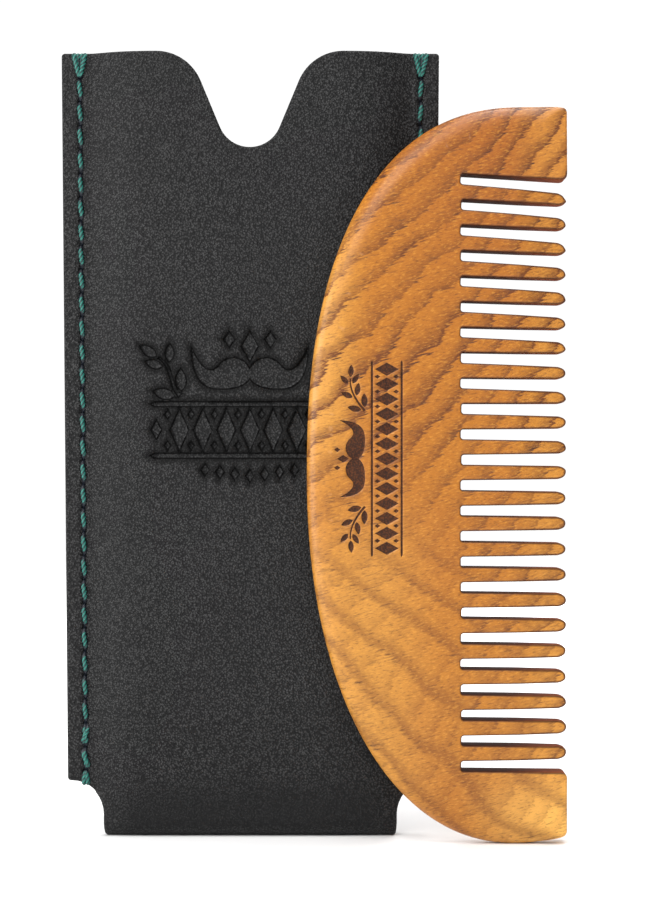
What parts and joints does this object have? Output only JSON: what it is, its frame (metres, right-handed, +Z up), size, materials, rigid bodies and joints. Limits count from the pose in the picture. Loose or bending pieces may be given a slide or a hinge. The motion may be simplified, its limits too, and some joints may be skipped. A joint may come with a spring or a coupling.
{
  "type": "beard comb",
  "caption": "Half-round wooden beard comb with coarse teeth, standing by its own folded leather sleeve, which is saddle stitched down both sides and notched for a thumb.",
  "frame": {"origin": "middle of the bottom of the set's box, on the surface that the comb and its sleeve stand on", "axes": "+Z up along the comb and the sleeve, +X from the sleeve towards the tooth tips, -Y the front, where the comb stands"},
  "size_m": [0.0878, 0.0154, 0.1383],
  "materials": {
    "wood": "oiled and polished",
    "leather": "fine pebble grain, satin",
    "thread": "waxed twist"
  },
  "bodies": {
    "sleeve": {"sleeve_leather": "leather", "left_seam_thread": "thread", "right_seam_thread": "thread"},
    "comb": {"comb": "wood"}
  },
  "joints": [
    {"name": "comb_lift", "type": "slide", "parent": "sleeve", "child": "comb", "axis": [0, 0, 1], "range_m": [0, 0.145]}
  ]
}
